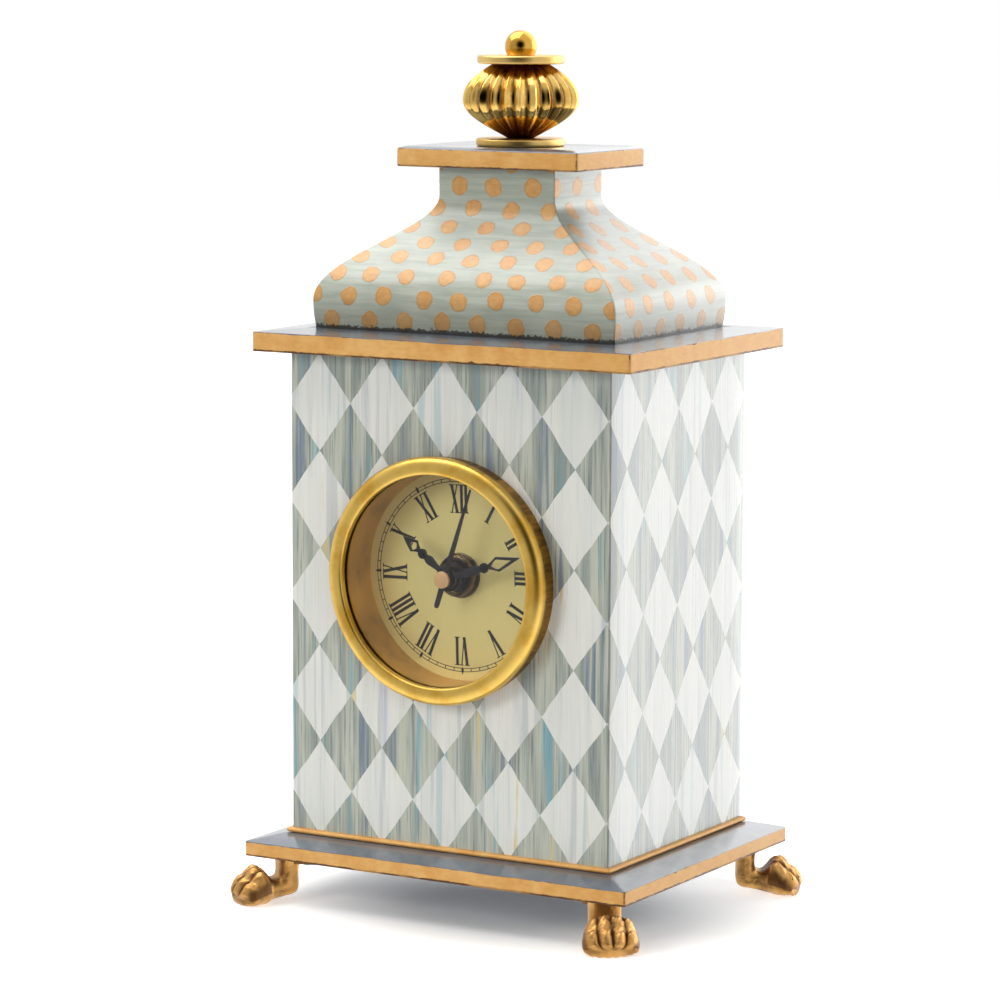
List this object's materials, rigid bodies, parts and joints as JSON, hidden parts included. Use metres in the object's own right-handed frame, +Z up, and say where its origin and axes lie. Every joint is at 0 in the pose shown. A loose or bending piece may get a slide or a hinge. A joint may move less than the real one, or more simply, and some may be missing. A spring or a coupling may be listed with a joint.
{
  "type": "desk clock",
  "caption": "Desk clock: painted wooden tower case on paw feet, ogee roof and brass finial, dial in a deep brass drum, quartz movement behind a hinged back door.",
  "frame": {"origin": "on the floor plane, in the middle of the bounding box seen from above", "axes": "+Z up, the dial faces -Y, +X to the right of someone who looks at the dial"},
  "size_m": [0.1402, 0.1036, 0.2398],
  "materials": {
    "painted_walls": "ivory and grey lozenge painting under gloss lacquer",
    "slate_paint": "blue-grey paint with gilded edges, gloss lacquer",
    "sage_paint": "sage grey-green paint with gilded dots, gloss lacquer",
    "gilded_metal": "rubbed gold paint with dark recesses",
    "brass": "polished",
    "matt_brass": "matt",
    "dial_gilt": "satin champagne with black print",
    "black_metal": "semi-gloss black",
    "bronze": "dark bronze",
    "steel": "plain",
    "black_plastic": "moulded, satin",
    "white_plastic": "moulded, plain",
    "copper": "enamelled copper wire",
    "circuit_green": "circuit board",
    "battery_foil": "plain printed wrap",
    "glass": "clear, flat"
  },
  "bodies": {
    "case": {"front_panel": "painted_walls", "left_panel": "painted_walls", "right_panel": "painted_walls", "back_frame": "painted_walls", "base_slab": "slate_paint", "cornice_slab": "slate_paint", "cap_slab": "slate_paint", "roof": "sage_paint", "foot_bead": "gilded_metal", "foot_front_left": "gilded_metal", "foot_front_right": "gilded_metal", "foot_back_left": "gilded_metal", "foot_back_right": "gilded_metal", "finial_lower_disc": "brass", "finial_melon": "brass", "finial_upper_disc": "brass", "finial_ball": "brass", "bezel_drum": "brass", "upper_hinge_frame_leaf": "brass", "lower_hinge_frame_leaf": "brass", "inner_sleeve": "matt_brass", "dial": "dial_gilt", "dial_washer": "bronze", "dial_nut": "bronze", "foot_screw_front_left": "steel", "foot_screw_front_right": "steel", "foot_screw_back_left": "steel", "foot_screw_back_right": "steel", "tie_rod": "steel", "tie_rod_nut": "steel", "drum_back": "steel", "stator": "steel", "contact_positive": "steel", "contact_negative": "steel", "movement_case": "black_plastic", "movement_cover": "black_plastic", "magnet_catch": "black_plastic", "train_plate": "white_plastic", "coil": "copper", "circuit_board": "circuit_green", "battery": "battery_foil", "crystal": "glass"},
    "door": {"back_door": "painted_walls", "door_knob": "brass", "upper_hinge_door_leaf": "brass", "lower_hinge_door_leaf": "brass", "catch_plate": "steel"},
    "rotor_arbor": {"rotor": "steel"},
    "intermediate_arbor": {"intermediate_wheel": "white_plastic"},
    "seconds_arbor": {"seconds_wheel": "white_plastic", "second_hand": "black_metal"},
    "third_arbor": {"third_wheel": "white_plastic"},
    "centre": {"centre_wheel": "white_plastic"},
    "minute_arbor": {"minute_pipe": "brass", "minute_hand": "black_metal"},
    "minute_wheel_arbor": {"minute_wheel": "white_plastic"},
    "hour_arbor": {"hour_wheel": "white_plastic", "hour_hand": "black_metal"},
    "setting_arbor": {"set_knob": "white_plastic"}
  },
  "joints": [
    {"name": "door_hinge", "type": "hinge", "parent": "case", "child": "door", "pos_m": [0.0327, 0.04414, 0.0857], "axis": [0, 0, -1], "range_deg": [0, 160]},
    {"name": "seconds_turn", "type": "hinge", "parent": "case", "child": "seconds_arbor", "pos_m": [0, -0.01496, 0.0938], "axis": [0, 1, 0], "continuous": true},
    {"name": "intermediate_turn", "type": "hinge", "parent": "case", "child": "intermediate_arbor", "pos_m": [0.0084, -0.01496, 0.0938], "axis": [0, 1, 0], "continuous": true},
    {"name": "rotor_turn", "type": "hinge", "parent": "case", "child": "rotor_arbor", "pos_m": [0.01517, -0.01496, 0.09626], "axis": [0, 1, 0], "continuous": true},
    {"name": "third_turn", "type": "hinge", "parent": "case", "child": "third_arbor", "pos_m": [-0.00194, -0.01996, 0.10483], "axis": [0, 1, 0], "continuous": true},
    {"name": "centre_turn", "type": "hinge", "parent": "case", "child": "centre", "pos_m": [0, -0.01996, 0.0938], "axis": [0, 1, 0], "continuous": true},
    {"name": "minute_turn", "type": "hinge", "parent": "case", "child": "minute_arbor", "pos_m": [0, -0.02496, 0.0938], "axis": [0, 1, 0], "continuous": true},
    {"name": "minute_wheel_turn", "type": "hinge", "parent": "case", "child": "minute_wheel_arbor", "pos_m": [-0.00985, -0.02196, 0.09206], "axis": [0, 1, 0], "continuous": true},
    {"name": "hour_turn", "type": "hinge", "parent": "case", "child": "hour_arbor", "pos_m": [0, -0.02496, 0.0938], "axis": [0, 1, 0], "continuous": true},
    {"name": "setting_turn", "type": "hinge", "parent": "case", "child": "setting_arbor", "pos_m": [-0.01851, -0.02196, 0.09706], "axis": [0, 1, 0], "continuous": true}
  ],
  "couplings": [
    {"joint": "intermediate_turn", "follows": "seconds_turn", "ratio": -6},
    {"joint": "rotor_turn", "follows": "seconds_turn", "ratio": 30},
    {"joint": "third_turn", "follows": "seconds_turn", "ratio": -0.13333},
    {"joint": "centre_turn", "follows": "seconds_turn", "ratio": 0.016667},
    {"joint": "minute_wheel_turn", "follows": "minute_turn", "ratio": -0.33333},
    {"joint": "hour_turn", "follows": "minute_turn", "ratio": 0.083333},
    {"joint": "setting_turn", "follows": "minute_turn", "ratio": 1}
  ]
}
